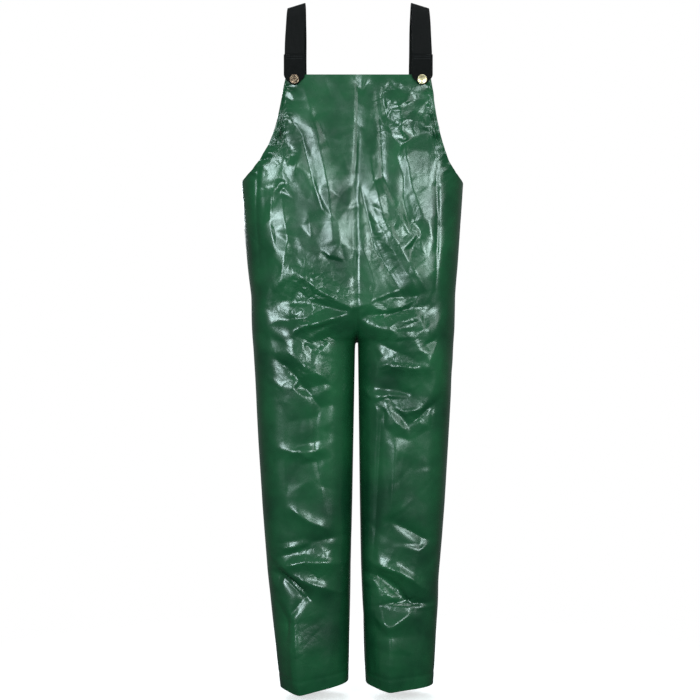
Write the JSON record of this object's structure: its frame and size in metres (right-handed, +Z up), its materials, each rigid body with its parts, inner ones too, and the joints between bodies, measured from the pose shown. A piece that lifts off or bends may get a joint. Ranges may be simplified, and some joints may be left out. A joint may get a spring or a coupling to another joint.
{
  "type": "chest waders",
  "caption": "Glossy coated-fabric bib-and-brace fishing overalls with open legs and two elastic shoulder braces on press studs.",
  "frame": {"origin": "midway between the two braces, level with the underside of their highest point, where a hanger or the wearer's shoulders carry the garment", "axes": "+Z up, the wearer faces -Y, and +X is the wearer's left"},
  "size_m": [0.468, 0.2468, 1.4418],
  "materials": {
    "coated_fabric": "glossy",
    "seam_tape": "satin",
    "elastic_webbing": "matte",
    "tab_webbing": "matte",
    "stud_brass": "polished",
    "spring_wire": "satin"
  },
  "bodies": {
    "garment": {"left_front_panel": "coated_fabric", "right_front_panel": "coated_fabric", "left_back_panel": "coated_fabric", "right_back_panel": "coated_fabric", "centre_front_seam_tape": "seam_tape", "centre_back_seam_tape": "seam_tape", "left_side_seam_tape": "seam_tape", "right_side_seam_tape": "seam_tape", "left_inseam_tape": "seam_tape", "right_inseam_tape": "seam_tape", "bib_top_facing": "coated_fabric", "back_top_facing": "coated_fabric", "left_armhole_facing": "coated_fabric", "right_armhole_facing": "coated_fabric", "left_leg_hem": "coated_fabric", "right_leg_hem": "coated_fabric", "crotch_gusset": "seam_tape", "left_stud_patch": "coated_fabric", "right_stud_patch": "coated_fabric", "left_brace_anchor_patch": "coated_fabric", "right_brace_anchor_patch": "coated_fabric", "left_stud": "stud_brass", "right_stud": "stud_brass", "left_stud_post": "stud_brass", "right_stud_post": "stud_brass", "left_brace_back_elastic": "elastic_webbing", "right_brace_back_elastic": "elastic_webbing"},
    "left_brace": {"left_brace_front_elastic": "elastic_webbing"},
    "left_brace_end": {"left_brace_tab": "tab_webbing", "left_snap_cap": "stud_brass", "left_snap_socket": "stud_brass", "left_socket_spring": "spring_wire"},
    "right_brace": {"right_brace_front_elastic": "elastic_webbing"},
    "right_brace_end": {"right_brace_tab": "tab_webbing", "right_snap_cap": "stud_brass", "right_snap_socket": "stud_brass", "right_socket_spring": "spring_wire"}
  },
  "joints": [
    {"name": "left_brace_lift", "type": "hinge", "parent": "garment", "child": "left_brace", "pos_m": [0.131, 0, 0.0018], "axis": [-1, 0, 0], "range_deg": [0, 120]},
    {"name": "left_tab_peel", "type": "hinge", "parent": "left_brace", "child": "left_brace_end", "pos_m": [0.131, -0.1248, -0.12275], "axis": [-1, 0, 0], "range_deg": [0, 150]},
    {"name": "right_brace_lift", "type": "hinge", "parent": "garment", "child": "right_brace", "pos_m": [-0.131, 0, 0.0018], "axis": [-1, 0, 0], "range_deg": [0, 120]},
    {"name": "right_tab_peel", "type": "hinge", "parent": "right_brace", "child": "right_brace_end", "pos_m": [-0.131, -0.1248, -0.12275], "axis": [-1, 0, 0], "range_deg": [0, 150]}
  ]
}
